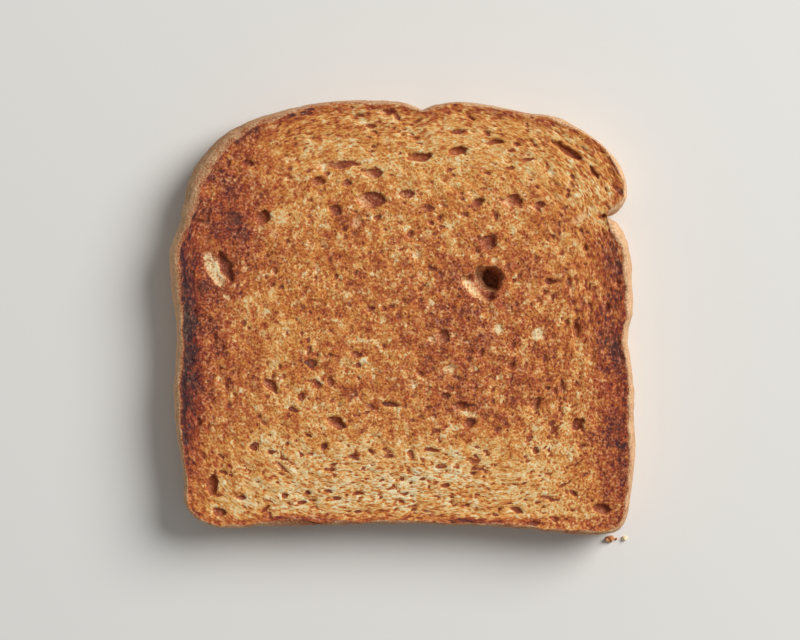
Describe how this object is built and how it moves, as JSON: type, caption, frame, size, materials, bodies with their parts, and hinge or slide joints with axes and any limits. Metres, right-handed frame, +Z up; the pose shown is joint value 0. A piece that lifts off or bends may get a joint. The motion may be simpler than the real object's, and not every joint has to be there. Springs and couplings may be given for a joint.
{
  "type": "slice of burnt toast",
  "caption": "Whole slice of burnt sandwich toast lying flat, with a domed crown, a fold down each side, a rolled crust edge and a face of open, scorched crumb.",
  "frame": {"origin": "on the flat underside, at the middle of the slice's box seen from above", "axes": "+Z up out of the toasted face, +Y to the domed crown, +X to the side with the deep fold"},
  "size_m": [0.1168, 0.1088, 0.0125],
  "materials": {
    "toasted_bread": "matte"
  },
  "bodies": {
    "root": {"toast": "toasted_bread"}
  },
  "joints": []
}
